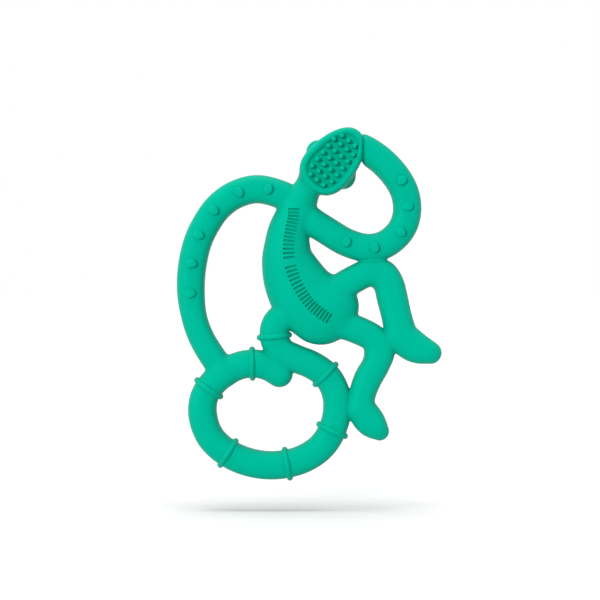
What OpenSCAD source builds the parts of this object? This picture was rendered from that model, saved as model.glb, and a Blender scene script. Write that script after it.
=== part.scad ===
// Teething ring: one soft moulding of a seated monkey, held by the ring at the end of its tail.
// It stands upright: the bristles and the studs of its front look toward -Y, +Z is up, and the
// mould parts along the plane Y = 0. The origin is the centre of the opening of the tail ring.

/* [Limbs] */
// Thickness of the round arms, legs and tail
limb_diameter = 9; // [8.6:0.1:9.4]
// Thickness of the body at its thickest, front to back
torso_thickness = 13; // [12:0.5:14]

/* [Head] */
// Long axis of the oval head
head_length = 24; // [23:0.5:25]
// Short axis of the oval head
head_width = 16; // [15:0.5:17]
// Turn of the head's long axis up from level, degrees
head_turn = 48; // [44:1:52]
// Height of the rounded rim round the bristles, above the floor of the dish
rim_height = 1.2; // [0.8:0.1:1.6]

/* [Bristles] */
// Distance between neighbouring bristles
bristle_pitch = 2.65; // [2.5:0.05:2.75]
// Thickness of a bristle
bristle_diameter = 1.5; // [1.2:0.1:1.7]
// Length of a bristle above the pad
bristle_height = 1.6; // [1.2:0.1:2]

/* [Studs and ridges] */
// Width of a massaging stud on the arms
stud_diameter = 2.7; // [2.3:0.1:3]
// How far a stud stands out of the arm
stud_height = 1.2; // [0.8:0.1:1.5]
// Width of a ridge round the tail
ridge_width = 1.8; // [1.4:0.1:2.2]
// How far a ridge stands out of the tail
ridge_height = 1.0; // [0.6:0.1:1.3]

/* [Grooves] */
// Length of a groove across the body
groove_length = 3.6; // [3:0.1:4.2]
// Width of a groove
groove_width = 0.5; // [0.4:0.05:0.6]
// Depth of a groove below the body's surface
groove_depth = 0.8; // [0.5:0.1:1]
// Distance between neighbouring grooves
groove_pitch = 1.15; // [1:0.05:1.3]

/* [Hidden] */

limb_r = limb_diameter / 2;
sides = 24;          // flats round a limb
steps = 3;           // rings between two points of a centre line
skin = 0.02;         // clearance round a plugged-in stud or ridge
teal = [0.01, 0.76, 0.63];

// Centre lines, each point [x, z, extra radius]: the limbs lie in the plane Y = 0.
left_arm_line = [[8.5, 66.5, 0], [3.5, 69.5, 0], [-4, 71.25, 0], [-11, 69.5, 0], [-16.75, 65.25, 0],
                 [-21, 59, 0], [-23.5, 53, 0], [-25, 45.5, 0], [-25.25, 38, -0.1], [-24.25, 30.5, -0.4],
                 [-22, 24, -0.4], [-18.5, 18, -0.3], [-14.5, 12.5, -0.3]];
right_arm_line = [[8, 66.5, 0], [12.5, 61.75, 0], [18.5, 57.75, 0], [24.5, 54.25, 0], [31, 52.5, 0],
                  [37, 53.75, 0], [41.75, 58, 0], [43.75, 63.5, 0], [43.25, 69.5, 0], [40.5, 75, 0],
                  [36, 80, 0], [31.5, 83.5, 0.1], [27.5, 86, 0.1]];
tail_line = [[5, 31.5, 0], [2, 28, 0.2], [1.5, 23.5, 0.2], [3.75, 19.5, 0], [8, 17.25, 0], [13.5, 15, 0],
             [18, 11.75, 0], [20.75, 7, 0], [21.5, 1, 0], [20, -5.5, 0], [16.25, -11.25, 0],
             [10, -15.25, 0], [2, -17, 0], [-6, -16.25, 0], [-13.25, -13.25, 0], [-19, -8, 0],
             [-21.5, -1, 0.1], [-20.75, 5.5, 0], [-16.5, 11, 0], [-10.75, 14.5, 0], [-5.25, 15.5, 0],
             [-0.5, 14.5, 0], [3, 12.25, -0.2]];
right_leg_line = [[19, 37, 0.2], [23, 40, 0.2], [27, 42.5, 0], [31.5, 44.5, 0], [35.5, 44, 0.5], [38, 41, 0.3],
                  [39.25, 36.5, 0.1], [40.5, 31, 0.1], [42, 24.5, 0.2]];
right_foot_line = [[42, 24, 0.9], [46.5, 20.75, 0.5], [51.25, 19, -0.9]];
left_leg_line = [[23, 28, 0], [28, 26.25, 0], [32.75, 23.75, 0], [35, 20.25, 0.5], [34, 15.5, 0],
                 [31.25, 10.5, 0], [29.5, 5.5, -0.2], [29, 1.5, -0.7]];
left_foot_line = [[29, 1, 0.3], [32, -3, 0.3], [35, -6, -1.4]];
hip_line = [[14, 34, 4.2], [20, 34, 3.8]];
torso_line = [[12.75, 74, -0.8], [10.75, 69, 0.3], [8.25, 64, 1.2], [6, 58, 2], [5.5, 53, 2.8],
              [5.75, 48, 3.8], [8, 42, 5.4], [11.5, 36.5, 6.5], [16.25, 33, 7]];

// Where a line is cut into neighbouring pieces, counted in points.
wrist = 9;
root_end = 6.4;
tip_start = 20.4;
right_ankle = 7.4;
left_ankle = 6;

// Studs: [x, z] on the centre line of their arm.
left_stud_spots = [[-0.5, 71], [-9.75, 70], [-17.75, 64.25], [-22.5, 56.5], [-24.75, 47.5], [-25.25, 38]];
right_stud_spots = [[24.25, 54.25], [33.25, 52.5], [41.5, 57.5], [43.75, 65.5], [41.75, 73.75]];

// Ridges: how far along the tail's line, in points.
ridge_spots = [1.83, 5.93, 9.05, 11.57, 14.03, 17.35, 19.92];

// Head: an egg, wider at the chin, with blunter ends than an ellipse.
head_at = [20.5, 80.8];
head_power = 2.3;
head_taper = 0.19;
ear_spots = [[15.2, 82.5], [23.4, 75.2]];
ear_r = 3.8;
ear_thickness = 3.6;

// Profile of the head from front to back, each [y, inset from the outline].
dish_y = -5.2;
head_profile = [[dish_y, 1.7], [dish_y - rim_height * 0.7, 1.4], [dish_y - rim_height, 1],
                [dish_y - rim_height * 0.8, 0.55], [dish_y + 0.2, 0.15], [-3.2, 0], [-1, 0.1], [1, 0.4],
                [3, 1.1], [4.6, 2.2], [5.7, 3.7], [6.3, 5.5]];
pad_inset = 1.75;
pad_rise = 0.5;
pad_y = dish_y - pad_rise;
face_y = 6.3;

// The bristles' square field sits a little off the middle of the egg.
bristles_at = [20.1, 80.6];
bristles_turn = 50;

// Grooves run down the middle of the body in two groups; each point is [x, z].
groove_line = [[7.6, 66], [7.5, 62], [6.7, 57.9], [6.1, 53.5], [6.3, 48.5], [7.6, 43.5], [9.9, 38.8],
               [12.6, 34.9], [15.8, 32], [19.5, 29.5]];
groove_span = [[0.35, 3.83], [4.42, 8.8]];

// ---- curves -----------------------------------------------------------------------------------
function clamp_at(list, i) = list[max(0, min(len(list) - 1, i))];

// Point at u along a list, a smooth curve through every entry.
function curve_at(list, u) =
    let (i = min(floor(u), len(list) - 2), t = u - i,
         a = clamp_at(list, i - 1), b = list[i], c = list[i + 1], d = clamp_at(list, i + 2),
         a2 = i == 0 ? 2 * b - c : a, d2 = i == len(list) - 2 ? 2 * c - b : d)
    0.5 * (2 * b + (c - a2) * t + (2 * a2 - 5 * b + 4 * c - d2) * t * t
           + (3 * b - a2 - 3 * c + d2) * t * t * t);

// Heading of the curve at u, as a unit [x, z].
function heading(list, u) =
    let (a = curve_at(list, max(0, u - 0.01)), b = curve_at(list, min(len(list) - 1, u + 0.01)),
         d = [b[0] - a[0], b[1] - a[1]])
    d / norm(d);

// Part of a centre line from u0 to u1, as stepped [x, z, extra radius, heading].
function run(list, u0, u1) =
    let (n = max(2, ceil((u1 - u0) * steps)))
    [for (i = [0 : n])
        let (u = u0 + (u1 - u0) * i / n, p = curve_at(list, u))
        [p[0], p[1], p[2], heading(list, u)]];

function whole(list) = run(list, 0, len(list) - 1);

// ---- solids -----------------------------------------------------------------------------------
// Cross-sections of a tube, each [x, z, radius, half thickness, heading].
function depth_of(r, flat) = flat == 0 ? r : min(flat, 2.4 + r * 0.55);

function section(p, flat) =
    let (r = limb_r + p[2])
    [p[0], p[1], r, depth_of(r, flat), p[3]];

// Shrinking cross-sections that round an end; way is 1 past the end and -1 before the start.
function rounding(s, way) =
    [for (i = [1 : 4])
        let (turn = 20 * i, out = s[2] * sin(turn) * way)
        [s[0] + s[4][0] * out, s[1] + s[4][1] * out, s[2] * cos(turn), s[3] * cos(turn), s[4]]];

function backwards(list) = [for (i = [len(list) - 1 : -1 : 0]) list[i]];

// A tube along a line. Its section is a circle, or an oval no thicker than flat; either end can be round.
module sweep(line, flat = 0, round_start = false, round_end = false) {
    body = [for (p = line) section(p, flat)];
    first = round_start ? backwards(rounding(body[0], -1)) : [];
    last = round_end ? rounding(body[len(body) - 1], 1) : [];
    all = concat(first, body, last);
    n = len(all);
    rings = [for (s = all) for (k = [0 : sides - 1])
        let (a = 360 * k / sides, across = s[2] * cos(a))
        [s[0] - s[4][1] * across, s[3] * sin(a), s[1] + s[4][0] * across]];
    walls = [for (i = [0 : n - 2]) for (k = [0 : sides - 1])
        let (a = i * sides + k, b = i * sides + (k + 1) % sides)
        [a, b, b + sides, a + sides]];
    start = [[for (k = [0 : sides - 1]) sides - 1 - k]];
    end = [[for (k = [0 : sides - 1]) (n - 1) * sides + k]];
    polyhedron(rings, concat(start, walls, end), convexity = 8);
}

// Joins its children into one mesh.
module as_mesh() {
    resize([0, 0, 0]) union() children();
}

// Solid between ovals stacked along Y, after a profile of [y, inset].
module oval_stack(profile) {
    flats = 40;
    n = len(profile);
    rings = [for (p = profile) for (k = [0 : flats - 1])
        let (a = 360 * k / flats, c = cos(a), s = sin(a),
             x = (head_length / 2 - p[1]) * sign(c) * pow(abs(c), 2 / head_power),
             narrow = 1 - head_taper * sign(c) * pow(abs(c), 2 / head_power),
             z = (head_width / 2 - p[1]) * sign(s) * pow(abs(s), 2 / head_power) * narrow)
        [x, p[0], z]];
    walls = [for (i = [0 : n - 2]) for (k = [0 : flats - 1])
        let (a = i * flats + k, b = i * flats + (k + 1) % flats)
        [a, b, b + flats, a + flats]];
    start = [[for (k = [0 : flats - 1]) flats - 1 - k]];
    end = [[for (k = [0 : flats - 1]) (n - 1) * flats + k]];
    polyhedron(rings, concat(start, walls, end), convexity = 8);
}

module at_head() {
    translate([head_at[0], 0, head_at[1]])
        rotate([0, -head_turn, 0])
            children();
}

// ---- whole shapes, before they are trimmed against each other -----------------------------------
module head_shape() {
    at_head() oval_stack(head_profile);
}

module torso_shape() {
    sweep(whole(torso_line), torso_thickness / 2, true, true);
    sweep(whole(hip_line), torso_thickness / 2 - 1, false, true);
}

module right_arm_shape() {
    sweep(run(right_arm_line, 0, wrist));
}

module right_hand_shape() {
    sweep(run(right_arm_line, wrist, len(right_arm_line) - 1));
}

module left_arm_shape() {
    sweep(whole(left_arm_line));
}

module root_shape() {
    sweep(run(tail_line, 0, root_end));
}

module ring_shape() {
    sweep(run(tail_line, root_end, tip_start));
}

module tip_shape() {
    sweep(run(tail_line, tip_start, len(tail_line) - 1), 0, false, true);
}

module right_leg_shape() {
    sweep(run(right_leg_line, 0, right_ankle));
}

module left_leg_shape() {
    sweep(run(left_leg_line, 0, left_ankle));
}

// A foot: the end of the shin, and the heel tapering to the toe.
module foot_shape(leg, ankle, foot) {
    sweep(run(leg, ankle, len(leg) - 1));
    sweep(whole(foot), 0, true, true);
}

module right_foot_shape() {
    foot_shape(right_leg_line, right_ankle, right_foot_line);
}

module left_foot_shape() {
    foot_shape(left_leg_line, left_ankle, left_foot_line);
}

// Plug of a stud or ridge cut out of its limb.
module stud_at(spot, r, height, depth) {
    translate([spot[0], -depth, spot[1]])
        rotate([90, 0, 0])
            cylinder(r = r, h = height, $fn = sides);
}

// ---- the pieces ---------------------------------------------------------------------------------
module grooves() {
    pads = [for (span = groove_span)
        let (n = floor((span[1] - span[0]) * 4.55 / groove_pitch))
        for (i = [0 : n]) span[0] + (span[1] - span[0]) * i / n];
    for (u = pads) {
        here = curve_at(groove_line, u);
        ahead = curve_at(groove_line, u + 0.05);
        slope = atan2(ahead[1] - here[1], ahead[0] - here[0]);
        translate([here[0], -torso_thickness, here[1]])
            rotate([0, -slope - 90, 0])
                translate([-groove_length / 2, 0, -groove_width / 2])
                    cube([groove_length, torso_thickness - groove_floor(u) + groove_depth, groove_width]);
    }
}

// Depth of the body's front at u along the groove line, measured from the plane Y = 0.
function groove_floor(u) = min(torso_thickness / 2, 5.2 + u * 0.2);

module torso() {
    color(teal)
        as_mesh()
            difference() {
                torso_shape();
                head_shape();
                grooves();
            }
}

module head() {
    color(teal)
        as_mesh()
            head_shape();
}

module brush_pad() {
    color(teal * 0.95)
        at_head()
            oval_stack([[dish_y, pad_inset], [pad_y, pad_inset + 0.05]]);
}

// A square field of five by four, and three more at each end of the oval.
module bristles() {
    field = [for (i = [-2 : 2]) for (k = [-1.5 : 1.5]) [i, k]];
    ends = [for (i = [-2.9, 2.9]) for (k = [-1 : 1]) [i, k]];
    color(teal * 0.9)
        translate([bristles_at[0], pad_y, bristles_at[1]])
            rotate([0, -bristles_turn, 0])
                for (spot = concat(field, ends) * bristle_pitch)
                    translate([spot[0], 0, spot[1]])
                        rotate([90, 0, 0])
                            bristle();
}

// A stub with a rounded top.
module bristle() {
    r = bristle_diameter / 2;
    round = r * 0.6;
    rotate_extrude($fn = sides)
        union() {
            square([r - round, bristle_height]);
            square([r, bristle_height - round]);
            translate([r - round, bristle_height - round])
                intersection() {
                    circle(round, $fn = sides);
                    square(round);
                }
        }
}

module ears() {
    color(teal)
        as_mesh()
            difference() {
                for (spot = ear_spots)
                    translate([spot[0], ear_thickness + 0.4, spot[1]])
                        rotate([90, 0, 0])
                            cylinder(r = ear_r, h = ear_thickness, $fn = sides);
                head_shape();
            }
}

module face_relief() {
    color(teal * 0.95)
        at_head() {
            translate([-1.2, face_y, 0])
                rotate([-90, 0, 0])
                    scale([1, 0.8, 1])
                        cylinder(r1 = 3.4, r2 = 2.8, h = 0.8, $fn = sides);
            for (side = [-1, 1])
                translate([3.4, face_y, side * 1.6])
                    rotate([-90, 0, 0])
                        cylinder(r1 = 0.9, r2 = 0.7, h = 0.5, $fn = sides);
        }
}

// Sunk seats for a row of studs, front and back.
module stud_seats(spots) {
    for (spot = spots)
        for (turn = [0, 180])
            rotate([0, 0, turn])
                stud_at([turn == 0 ? spot[0] : -spot[0], spot[1]],
                        (stud_diameter / 2 + skin) / cos(180 / sides), limb_r, limb_r - 0.9);
}

module studs(spots) {
    for (spot = spots)
        for (turn = [0, 180])
            rotate([0, 0, turn])
                translate([turn == 0 ? spot[0] : -spot[0], -limb_r + 0.9, spot[1]])
                    rotate([90, 0, 0])
                        stud();
}

// A round stud with a softened top edge.
module stud() {
    r = stud_diameter / 2;
    top = 0.9 + stud_height;
    round = 0.5;
    rotate_extrude($fn = sides)
        union() {
            square([r - round, top]);
            square([r, top - round]);
            translate([r - round, top - round])
                intersection() {
                    circle(round, $fn = sides);
                    square(round);
                }
        }
}

module left_arm() {
    color(teal)
        as_mesh()
            difference() {
                left_arm_shape();
                torso_shape();
                ring_shape();
                stud_seats(left_stud_spots);
            }
}

module left_arm_studs() {
    color(teal * 0.95)
        studs(left_stud_spots);
}

module right_arm() {
    color(teal)
        as_mesh()
            difference() {
                right_arm_shape();
                torso_shape();
                left_arm_shape();
                stud_seats(right_stud_spots);
            }
}

module right_arm_studs() {
    color(teal * 0.95)
        studs(right_stud_spots);
}

module right_hand() {
    color(teal)
        as_mesh()
            difference() {
                right_hand_shape();
                head_shape();
                translate([-1.2, -20, 60])
                    cube([30, 40, 40]);
                stud_seats(right_stud_spots);
            }
}

module right_leg() {
    color(teal)
        as_mesh()
            difference() {
                right_leg_shape();
                torso_shape();
                right_arm_shape();
                sweep(whole(right_foot_line), 0, true, true);
            }
}

module right_foot() {
    color(teal)
        as_mesh()
            right_foot_shape();
}

module left_leg() {
    color(teal)
        as_mesh()
            difference() {
                left_leg_shape();
                torso_shape();
                right_leg_shape();
                right_foot_shape();
                ring_shape();
                sweep(whole(left_foot_line), 0, true, true);
            }
}

module left_foot() {
    color(teal)
        as_mesh()
            difference() {
                left_foot_shape();
                ring_shape();
            }
}

module tail_root() {
    color(teal)
        as_mesh()
            difference() {
                root_shape();
                torso_shape();
                ridge_seats([ridge_spots[0], ridge_spots[1]]);
            }
}

module tail_ring() {
    color(teal)
        as_mesh()
            difference() {
                ring_shape();
                ridge_seats(ridge_spots);
            }
}

module tail_tip() {
    color(teal)
        as_mesh()
            difference() {
                tip_shape();
                root_shape();
            }
}

// Frame of the tail at u: its axis along the tail.
module at_tail(u) {
    here = curve_at(tail_line, u);
    ahead = heading(tail_line, u);
    translate([here[0], 0, here[1]])
        rotate([0, 90 - atan2(ahead[1], ahead[0]), 0])
            children();
}

module ridge_seats(spots) {
    for (u = spots)
        at_tail(u)
            difference() {
                cylinder(r = limb_r + 1, h = ridge_width + 2 * skin, center = true, $fn = sides);
                cylinder(r = limb_r - 0.5 - skin, h = ridge_width + 1, center = true, $fn = sides);
            }
}

module tail_ridges() {
    color(teal * 0.95)
        for (u = ridge_spots)
            at_tail(u)
                rotate_extrude($fn = 48)
                    ridge_section();
}

// Half-round band, sunk half a millimetre into the tail.
module ridge_section() {
    inner = limb_r - 0.5;
    outer = limb_r + ridge_height;
    round = ridge_width / 2;
    translate([inner, -ridge_width / 2])
        square([outer - round - inner, ridge_width]);
    translate([outer - round, 0])
        circle(round, $fn = sides);
}

torso();
head();
brush_pad();
bristles();
ears();
face_relief();
left_arm();
left_arm_studs();
right_arm();
right_arm_studs();
right_hand();
right_leg();
right_foot();
left_leg();
left_foot();
tail_root();
tail_ring();
tail_tip();
tail_ridges();
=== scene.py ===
"""Teething ring: one soft silicone moulding of a seated monkey with a ridged ring at its tail.

The fused skin is one smooth implicit solid, because the limbs of a moulding run into each other with small
fillets that separate swept tubes cannot give. It is turned into a fine mesh with numpy, cut into the moulded
regions and closed. Studs, ridges, bristles and the relief of the face are parametric surfaces.
All lengths are worked in millimetres and put into the meshes in metres, in the CAD model's frame.
"""

import math

import bpy
import numpy as np
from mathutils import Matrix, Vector


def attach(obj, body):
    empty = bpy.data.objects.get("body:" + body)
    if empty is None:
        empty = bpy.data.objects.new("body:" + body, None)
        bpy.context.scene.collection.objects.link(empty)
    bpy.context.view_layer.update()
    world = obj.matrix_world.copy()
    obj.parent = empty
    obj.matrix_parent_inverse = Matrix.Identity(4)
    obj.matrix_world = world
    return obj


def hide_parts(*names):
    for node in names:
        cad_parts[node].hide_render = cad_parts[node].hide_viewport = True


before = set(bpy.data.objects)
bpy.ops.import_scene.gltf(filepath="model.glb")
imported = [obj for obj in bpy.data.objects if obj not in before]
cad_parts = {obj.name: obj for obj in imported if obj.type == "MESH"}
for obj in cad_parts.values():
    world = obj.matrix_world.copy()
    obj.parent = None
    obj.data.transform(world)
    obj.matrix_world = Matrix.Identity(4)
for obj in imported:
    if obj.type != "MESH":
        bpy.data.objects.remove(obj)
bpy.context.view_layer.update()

MM = 0.001
LIMB = 4.5                     # radius of the round limbs
CELL = 0.4                     # edge of a cell of the field the skin is drawn from
FAR = 6.0                      # field value where nothing is near
LIMB_POWER, BODY_POWER = 2.7, 2.2   # roundness of the sections: 2 is a circle, more is squarer

# ---- centre lines: [x, z, extra radius], all in the plane Y = 0 ---------------------------------
LEFT_ARM = [[8.5, 66.5, 0], [3.5, 69.5, 0], [-4, 71.25, 0], [-11, 69.5, 0], [-16.75, 65.25, 0],
            [-21, 59, 0], [-23.5, 53, 0], [-25, 45.5, 0], [-25.25, 38, -0.1], [-24.25, 30.5, -0.4],
            [-22, 24, -0.4], [-18.5, 18, -0.3], [-14.5, 12.5, -0.3]]
RIGHT_ARM = [[8, 66.5, 0], [12.5, 61.75, 0], [18.5, 57.75, 0], [24.5, 54.25, 0], [31, 52.5, 0],
             [37, 53.75, 0], [41.75, 58, 0], [43.75, 63.5, 0], [43.25, 69.5, 0], [40.5, 75, 0],
             [36, 80, 0], [31.5, 83.3, 0], [27.5, 85.4, -0.2]]
TAIL = [[5, 31.5, 0], [2, 28, 0.2], [1.5, 23.5, 0.2], [3.75, 19.5, 0], [8, 17.25, 0], [13.5, 15, 0],
        [18, 11.75, 0], [20.75, 7, 0], [21.5, 1, 0], [20, -5.5, 0], [16.25, -11.25, 0], [10, -15.25, 0],
        [2, -17, 0], [-6, -16.25, 0], [-13.25, -13.25, 0], [-19, -8, 0], [-21.5, -1, 0.1],
        [-20.75, 5.5, 0], [-16.5, 11, 0], [-10.75, 14.5, 0], [-5.25, 15.5, 0], [-0.5, 14.5, 0],
        [3, 12.25, -0.2]]
RIGHT_LEG = [[19, 37, 0.2], [23, 40, 0.2], [27, 42.5, 0], [31.5, 44.5, 0], [35.5, 44, 0.5],
             [37.9, 41, 0.4], [39.1, 36.5, 0.45], [40.4, 31, 0.35], [42, 24.5, 0.6]]
RIGHT_FOOT = [[42, 24, 0.9], [46.5, 20.75, 0.5], [51.25, 19, -0.9]]
LEFT_LEG = [[23, 28, 0], [28, 26.25, 0], [32.75, 23.75, 0], [35, 20.25, 0.5], [34, 15.5, 0],
            [31.25, 10.5, 0], [29.5, 5.5, -0.2], [29, 1.5, 0]]
LEFT_FOOT = [[29, 1, 0.3], [32, -3, 0.3], [35, -6, -1.4]]
TORSO = [[12.75, 74, -0.8], [10.75, 69, 0.3], [8.25, 64, 1.2], [6, 58, 2], [5.5, 53, 2.8],
         [5.75, 48, 3.8], [8, 42, 5.4], [11.5, 36.5, 6.5], [16.25, 33, 7]]
# Knot parameters of the cuts between neighbouring regions of one limb.
WRIST, ROOT_END, TIP_START, RIGHT_ANKLE, LEFT_ANKLE = 9, 6.4, 20.4, 7.4, 6.0
NEAR_CUT, PAST_CUT = 1.2, 3.0  # knots over which a cut is a plane, and its distance elsewhere
TORSO_HALF = 6.5               # half thickness of the body
RUMP = 20, 34, 8.3, TORSO_HALF - 1   # x, z, radius and half thickness

LEFT_STUDS = [[-0.5, 71], [-9.75, 70], [-17.75, 64.25], [-22.5, 56.5], [-24.75, 47.5], [-25.25, 38]]
RIGHT_STUDS = [[24.25, 54.25], [33.25, 52.5], [41.5, 57.5], [43.75, 65.5], [41.75, 73.75]]
STUD_R, STUD_H = 1.35, 1.3
RIDGES = [1.83, 5.93, 9.05, 11.57, 14.03, 17.35, 19.92]   # knot parameters along the tail
RIDGE_HALF, RIDGE_H, RIDGE_FLARE, RIDGE_SUNK = 0.95, 1.0, 0.22, 0.5

# ---- head: its outline is an egg in the plane Y = 0, and its bristled side faces -Y ------------------
HEAD_AT, HEAD_TURN = (20.45, 80.4), math.radians(48)
HEAD_LONG, HEAD_SHORT, HEAD_POWER, HEAD_TAPER = 12.0, 8.0, 2.3, 0.19
DISH_Y, RIM, FACE_Y = -5.08, 1.05, 6.3
EARS, EAR_R, EAR_HALF, EAR_Y = [[15.5, 83.2], [23.5, 75.3]], 3.9, 1.8, 2.2
EAR_EDGE, EAR_HOLLOW, EAR_HOLLOW_R = 1.2, 0.5, 1.5
PAD_RISE, PAD_INSET, PAD_SLOPE, PAD_LIP, PAD_SUNK = 0.15, 1.95, 1.6, 0.3, 0.5
BRISTLES_AT, BRISTLES_TURN, PITCH_LONG, PITCH_SHORT = (19.85, 80.0), math.radians(51), 2.72, 2.63
BRISTLE_R, BRISTLE_H = 0.75, 2.07
HAND_X, HAND_LOW = 29.0, 78    # plane of the blunt hand, and the height above which it cuts the arm
HAND_ROUND, CHEEK_ROUND, CHEEK_LAP = 2.0, 0.6, 0.35   # edges of hand and head there, and their overlap
# Muzzle and eyes on the far side: place along and across the head, two half widths and height.
FACE_SPOTS = [(-1.2, 0, 3.4, 2.7, 0.8), (3.4, -1.6, 0.9, 0.9, 0.5), (3.4, 1.6, 0.9, 0.9, 0.5)]
# Side of such a dome of unit size, from below its foot to its top: distance from the axis, and height.
DOME = [[1.12, -0.6], [1.1, -0.05], [1.06, 0.03], [1.02, 0.14], [0.98, 0.32], [0.94, 0.55],
        [0.88, 0.76], [0.78, 0.9], [0.6, 0.97], [0.3, 0.995], [0, 1.0]]

# ---- creases: width of the fillet, then spots where it is wider, as x, z, reach and how much wider ---
ARM_CREASE = (0.9,)
TAIL_CREASE = (0, (2, 16.5, 9, 0.6))
RING_CREASE = (0, (-15, 13, 14, 1.6), (3, 30, 14, 0.4))
EAR_CREASE = (0.5, (24, 76, 7, 3.0))
CHIN_CREASE = (0.6, (12, 74, 9, 1.6))
RIGHT_LEG_CREASE = (0.4, (22, 40, 8, 0.8), (34, 48.5, 7, 0.6))
LEFT_LEG_CREASE = (0.4, (24, 28, 8, 0.8))
RUMP_CREASE, HEEL_CREASE = 1.5, 0.5

# ---- grooves down the body: knots x, z, and the two spans of knot parameter that they fill -----------
GROOVE_LINE = [[7.6, 66, 0], [7.5, 62, 0], [6.7, 57.9, 0], [6.1, 53.5, 0], [6.3, 48.5, 0],
               [7.6, 43.5, 0], [9.9, 38.8, 0], [12.6, 34.9, 0], [15.8, 32, 0], [19.5, 29.5, 0]]
GROOVE_SPANS = [(0.35, 3.83), (4.42, 8.8)]
GROOVE_PITCH, GROOVE_KNOT = 1.15, 4.55   # from groove to groove, and from knot to knot
GROOVE_HALF_LENGTH, GROOVE_HALF = 1.8, 0.3
# Bar section from its mouth to its bottom: depth below the skin, and how much wider it is than the bar.
GROOVE_ROWS = [(-1.0, 0.12), (0.0, 0.1), (0.12, 0.02), (0.3, 0.0), (0.55, -0.02), (0.72, -0.1),
               (0.8, -0.2)]

# ---- silicone --------------------------------------------------------------------------------------
TEAL_LOW, TEAL_HIGH, TEAL_SHEEN = "#00886F", "#008C73", "#20FFE0"
ROUGH, ROUGH_DRIFT, SHEEN, CLOUDS = 0.46, 0.04, 0.11, 90.0
GRAIN_MM, GRAIN_DEEP_MM = 0.12, 0.012
SEAM_MM, SEAM_HIGH_MM = 0.12, 0.05

# ---- stage, in metres: a light is its energy, its spread in degrees and where it comes from ----------
AIM = (0.0096, 0.0, 0.03584)
LENS, AWAY, LIFT = 100.0, 0.533, math.radians(0.5)
FLOOR_Z, FLOOR_R, WORLD = -0.0316, 12.0, 1.0
CARD_LOW, CARD_HIGH = "#CACACA", "#CDCDCD"
KEY = 3.05, 16.0, (-0.48, -0.9, 0.15)
FILL = 0.25, 60.0, (0.9, -0.35, 0.1)
OVERHEAD = 2.1, 34.0, (0.0, -0.08, 1.0)


# ---- curves -------------------------------------------------------------------------------------
def smooth_line(points, start, end, spacing=0.7):
    """Catmull-Rom curve through the points, evaluated between two of its knots at about one spacing.

    Returns rows of x, z, radius and the knot parameter u.
    """
    p = np.array(points, float)
    p = np.vstack([2 * p[0] - p[1], p, 2 * p[-1] - p[-2]])
    length = np.linalg.norm(np.diff(p[1:-1, :2], axis=0), axis=1).mean() * (end - start)
    u = np.linspace(start, end, max(6, int(length / spacing)))
    i = np.minimum(u.astype(int), len(points) - 2)
    t = (u - i)[:, None]
    a, b, c, d = p[i], p[i + 1], p[i + 2], p[i + 3]
    q = 0.5 * (2 * b + (c - a) * t + (2 * a - 5 * b + 4 * c - d) * t ** 2
               + (3 * b - a - 3 * c + d) * t ** 3)
    q[:, 2] += LIMB
    return np.column_stack([q, u])


# ---- the field ----------------------------------------------------------------------------------
# Corners of the field, set so that its planes of cells fall on none of the object's own planes.
LOW = np.array([-32.03, -8.57, -24.23])
HIGH = np.array([57.5, 8.6, 93.5])
AXES = [np.arange(LOW[k], HIGH[k], CELL, dtype=np.float32) for k in range(3)]
SHAPE = tuple(len(a) for a in AXES)


def window(low, high):
    """Index slices of the cells between two corners, and their x, y and z as open arrays."""
    first = [max(0, int((low[k] - LOW[k]) / CELL)) for k in range(3)]
    last = [min(SHAPE[k], int((high[k] - LOW[k]) / CELL) + 2) for k in range(3)]
    cuts = [slice(first[k], last[k]) for k in range(3)]
    x, y, z = (AXES[k][cuts[k]] for k in range(3))
    return tuple(cuts), x[:, None, None], y[None, :, None], z[None, None, :]


def section(away, y, r, deep, power):
    """Signed distance, near the skin, to a superellipse of half width r and half thickness deep.

    With q = ((away / r)^n + (|y| / deep)^n)^(1/n) it is (q - 1) over the slope of q.
    """
    a, b = away / r, np.abs(y) / deep
    q = (a ** power + b ** power + 1e-9) ** (1 / power)
    slope = np.sqrt((a ** (power - 1) / r) ** 2 + (b ** (power - 1) / deep) ** 2 + 1e-9)
    return (q - 1) * q ** (power - 1) / slope


def tube(line, flat=0.0):
    """Field of a tube along a line in the plane Y = 0, from the section at the nearest point of the line.

    A limb's half thickness is the lesser of LIMB and 0.6 more than its half width, and its faces are a
    little flatter than a circle's. A body's is the lesser of flat and 2.4 + 0.55 of its half width.
    """
    field = np.full(SHAPE, FAR, np.float32)
    for a, b in zip(line[:-1], line[1:]):
        reach = max(a[2], b[2]) + FAR
        low = np.minimum(a[:2], b[:2]) - reach
        high = np.maximum(a[:2], b[:2]) + reach
        cut, x, y, z = window((low[0], -99, low[1]), (high[0], 99, high[1]))
        step = b[:2] - a[:2]
        t = np.clip(((x - a[0]) * step[0] + (z - a[1]) * step[1]) / max(step @ step, 1e-9), 0, 1)
        away = np.sqrt((x - a[0] - t * step[0]) ** 2 + (z - a[1] - t * step[1]) ** 2)
        r = a[2] + (b[2] - a[2]) * t
        deep = np.minimum(flat, 2.4 + 0.55 * r) if flat else np.minimum(LIMB, r + 0.6)
        power = BODY_POWER if flat else LIMB_POWER
        field[cut] = np.minimum(field[cut], section(away, y, r, deep, power))
    return field


def head_local(x, z):
    """Turns x, z into the head's own long and short axes."""
    c, s = math.cos(HEAD_TURN), math.sin(HEAD_TURN)
    dx, dz = x - HEAD_AT[0], z - HEAD_AT[1]
    return dx * c + dz * s, -dx * s + dz * c


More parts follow.
